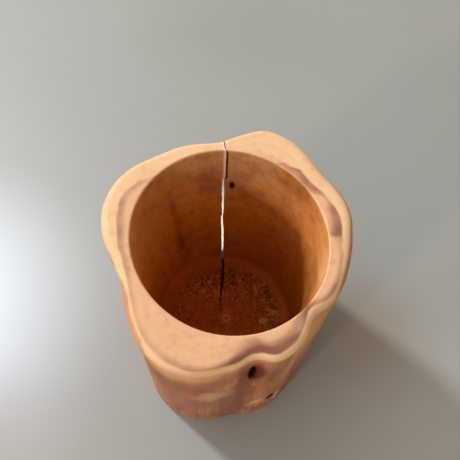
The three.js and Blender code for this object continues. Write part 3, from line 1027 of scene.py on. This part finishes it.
def floor_colour(s, colour):
    """Torn end grain: painted light on its curls, painted shade in its tears, dark specks and bent
    strokes round the pith's pale eye.
    """
    on_floor, radius = s.mark("floor"), s.mark("radius")
    # The floor's darker end grain, made darker still as painted shade at the bottom of the bore
    brown = s.tones(s.grain("floor"), "floor")
    colour = s.mix(s.times(on_floor, 0.85), colour, brown)
    colour = s.tints(colour, FLOOR_TINTS)
    for size, offset, *tint in FLOOR_STROKES:
        bend = s.math("ABSOLUTE", s.math("SUBTRACT", s.noise(size, 1, 1, 0.5, offset), 0.5))
        stroke = s.times(s.between(bend, 0.035, 0.008), s.mark("strokes"))
        colour = s.tint(colour, stroke, *tint)
    colour = s.tint(colour, s.mark("fleck"), 0.8, (250, 190, 120))
    eye = s.times(on_floor, s.between(radius, EYE_RADIUS + 0.3, EYE_RADIUS))
    colour = s.tint(colour, eye, 0.65, (240, 172, 62))
    edge = s.times(eye, s.between(radius, EYE_EDGE, EYE_RADIUS))
    colour = s.shade(colour, edge, 0.6, (190, 120, 80))
    dot = s.times(on_floor, s.between(radius, 2 * EYE_DOT, EYE_DOT))
    return s.tint(colour, dot, 0.7, (70, 30, 12))


def skin_colour(s, fibre, coarse):
    """The trunk's natural outside: reddish brown and worn, paler under the rim."""
    below_rim = s.mark("below_rim")
    red = s.tones(s.grain("skin"), "skin")
    colour = s.mix(s.between(s.grain("worn"), 0.45, 0.75), red, srgb(210, 148, 98))
    colour = s.shade(colour, s.between(fibre, 0.45, 0.75), 0.25, (215, 172, 152))
    colour = s.shade(colour, s.between(coarse, 0.45, 0.72), 0.3, (212, 166, 146))
    torn_fibres = s.times(s.between(coarse, 0.5, 0.62), s.between(below_rim, 64, 90))
    colour = s.shade(colour, torn_fibres, 0.6, (196, 140, 118))
    colour = s.tint(colour, s.between(below_rim, 30, 50), 0.4, (178, 130, 106))
    colour = s.tint(colour, s.between(below_rim, 24, 4), 0.75, (208, 147, 104))
    return s.tints(colour, SKIN_TINTS)


def trunk_wood():
    """Sanded wood with its sapwood, stain and rings, and the natural skin outside."""
    s = Shader("trunk_wood")
    cloud, fibre, coarse, speck = [s.grain(name) for name in ("cloud", "fibre", "coarse", "speck")]
    colour = rim_colour(s, cloud, fibre, coarse)
    colour = s.mix(s.mark("inside"), colour, bore_colour(s, cloud, coarse))
    colour = floor_colour(s, colour)
    colour = s.mix(s.mark("skin"), colour, skin_colour(s, fibre, coarse))
    colour = s.tints(colour, LAST_TINTS)
    sanded = s.between(coarse, 0.3, 0.7, 0.44, 0.58)
    roughness = s.math("ADD", sanded, s.times(s.mark("skin"), 0.35))
    height = s.math("ADD", s.times(fibre, 0.5), s.times(speck, 0.3))
    return s.finish(colour, roughness, s.bump(height, 0.1, 0.5))


def plain_wood(name):
    """A material with two colours broken up by noise and drawn-out fibres."""
    dark, light, size, tall, roughness, relief, gloss = PLAIN_WOODS[name]
    s = Shader(name)
    grain = s.noise(size, tall, 3, 0.65, 2)
    fleck = s.noise(size * 0.35, 1, 2, 0.6, 6)
    colour = s.mix(s.between(grain, 0.3, 0.7), srgb(*dark), srgb(*light))
    colour = s.shade(colour, s.between(fleck, 0.5, 0.75), 0.6, (150, 110, 90))
    return s.finish(colour, roughness, s.bump(grain, relief, 0.8), gloss)


# Pools of painted light and shade on the table: the window's painted sheen left of the cup,
# painted shade and light beside and behind it, and painted light behind the crack. Each has a
# middle, a reach, a colour and a strength.
POOLS = [
    ((-152, -9), (110, 108), (229, 236, 250), 1),
    ((0, 210), (95, 75), (148, 148, 144), 0.6),
    ((-100, -75), (72, 62), (176, 170, 168), 0.9),
    ((66, -4), (44, 42), (149, 138, 125), 1),
    ((96, -66), (110, 90), (188, 181, 174), 0.65),
    ((-4, 50), (17, 34), (250, 240, 230), 1),
]


def table_material():
    s = Shader("table")
    colour = s.tones(s.noise(180, 1, 2, 0.5, 1), "table")
    # Painted light and shade laid on the table
    for (x, y), (wide, deep), tone, fullness in POOLS:
        place = s.node("ShaderNodeMapping", {
            "Vector": s.coordinates,
            "Location": (-x / wide, -y / deep, 0),
            "Scale": (1 / (wide * MM), 1 / (deep * MM), 1),
        })
        away = s.vector("LENGTH", {0: place.outputs[0]})["Value"]
        colour = s.mix(s.between(away, 1, 0.1, 0, fullness), colour, srgb(*tone))
    return s.finish(colour, 0.5, s.bump(s.noise(3), 0.01, 0.1), TABLE_GLOSS)


# Stage, lamps and camera

TABLE_HALF = 2500

# Each lamp's azimuth, elevation, distance and size in metres, share of the light and colour
LAMPS = {
    "window": (142, 44, 1.3, 0.13, 0.455, (0.92, 0.99, 1)),
    "far_window": (226, 25, 1.6, 0.14, 0.085, (1, 0.93, 0.85)),
}


def stage():
    corners = np.array([(-1, -1, 0), (1, -1, 0), (1, 1, 0), (-1, 1, 0)]) * TABLE_HALF
    table = new_piece("table", corners * MM, [(0, 1, 2, 3)])
    table.data.materials.append(table_material())


def direction_to(azimuth, elevation):
    rise = math.radians(elevation)
    return Vector((*on_plan(azimuth, math.cos(rise)), math.sin(rise)))


def lamp(name, azimuth, elevation, distance, width, share, colour):
    """A round soft lamp. Its share is how bright a white floor at the origin looks by it alone."""
    data = bpy.data.lights.new(name, "AREA")
    data.shape = "DISK"
    data.size = width
    data.color = colour
    data.energy = share * math.pi ** 2 * distance ** 2 / math.sin(math.radians(elevation))
    towards = direction_to(azimuth, elevation)
    obj = new_object(name, data)
    obj.location = towards * distance + Vector((0, 0, HEIGHT * MM / 2))
    obj.rotation_euler = towards.to_track_quat("Z", "Y").to_euler()


# The room's fill, darker overhead and brighter to one side, and a broad glow round the window
FILL = {"overhead": 0.21, "horizon": 0.84, "azimuth": 155, "behind": 0.72, "before": 1.55,
        "colour": (1, 0.89, 0.78)}
GLOW = {"azimuth": 155, "elevation": 52, "edge": 40, "core": 8, "strength": 0.9,
        "colour": (0.86, 0.97, 1)}


def room():
    world = bpy.data.worlds.new("room")
    s = Nodes(world)
    direction = s.node("ShaderNodeTexCoord").outputs["Generated"]

    def along(azimuth, elevation):
        return s.vector("DOT_PRODUCT", {0: direction, 1: direction_to(azimuth, elevation)})["Value"]

    def scaled(colour, strength):
        return s.vector("SCALE", {0: colour, "Scale": strength})[0]

    height = s.node("ShaderNodeSeparateXYZ", {0: direction}).outputs["Z"]
    fill = s.between(height, 0, 1, FILL["horizon"], FILL["overhead"], "LINEAR")
    side = s.between(along(FILL["azimuth"], 0), -1, 1, FILL["behind"], FILL["before"], "LINEAR")
    edge, core = math.cos(math.radians(GLOW["edge"])), math.cos(math.radians(GLOW["core"]))
    glow = s.between(along(GLOW["azimuth"], GLOW["elevation"]), edge, core, 0, GLOW["strength"])
    lit = scaled(FILL["colour"], s.times(fill, side))
    both = s.vector("ADD", {0: lit, 1: scaled(GLOW["colour"], glow)})[0]
    s.put(s.tree.nodes["Background"], "Color", both)
    bpy.context.scene.world = world


def lighting():
    for name, settings in LAMPS.items():
        lamp(name, *settings)
    room()


# The camera as a pinhole: its place, pitch down, roll, and focal length in the photo's pixels
CAMERA_PLACE = (0.2, -61.9, 218.2)
CAMERA_PITCH = 62.71
CAMERA_ROLL = -2.18
FOCAL_PIXELS = 461
SENSOR = 36


def camera():
    pitch, roll = math.radians(CAMERA_PITCH), math.radians(CAMERA_ROLL)
    forward = Vector((0, math.cos(pitch), -math.sin(pitch)))
    level_right = Vector((1, 0, 0))
    level_down = forward.cross(level_right)
    right = math.cos(roll) * level_right + math.sin(roll) * level_down
    down = -math.sin(roll) * level_right + math.cos(roll) * level_down
    data = bpy.data.cameras.new("camera")
    data.sensor_width = SENSOR
    data.lens = SENSOR * FOCAL_PIXELS / PHOTO_SIDE
    data.clip_start = 0.005
    obj = new_object("camera", data)
    axes = Matrix((right, -down, -forward)).transposed().to_4x4()
    obj.matrix_world = Matrix.Translation(Vector(CAMERA_PLACE) * MM) @ axes
    bpy.context.scene.camera = obj


# Putting it together

# Each plug's material
PLUG_WOODS = {"inner_pin_knot": "dark_knot", "side_knot": "dark_knot",
              "floor_knot": "pale_knot", "fold_bark": "ingrown_bark"}
SHARP_ANGLE = 40


def dress(piece, node, material):
    piece.data.materials.append(material)
    piece.data.shade_smooth()
    piece.data.set_sharp_from_angle(angle=math.radians(SHARP_ANGLE))
    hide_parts(node)
    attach(piece, ROOT)


def cup():
    body = cup_mesh()
    plugs = knots()
    cut(body, [crack_blade()] + [socket for _, socket in plugs.values()])
    wood_attributes(body)
    dress(body, "cup_body", trunk_wood())
    woods = {name: plain_wood(name) for name in PLAIN_WOODS}
    for name in ("split_wood", "split_in_shade", "socket_lining_in_shade"):
        body.data.materials.append(woods[name])
    mark_split_faces(body, on_wall=1, deep=2, in_socket=3)
    for node, wood in PLUG_WOODS.items():
        dress(plugs[node][0], node, woods[wood])


cup()
stage()
lighting()
camera()
bpy.context.scene.view_settings.view_transform = "Standard"
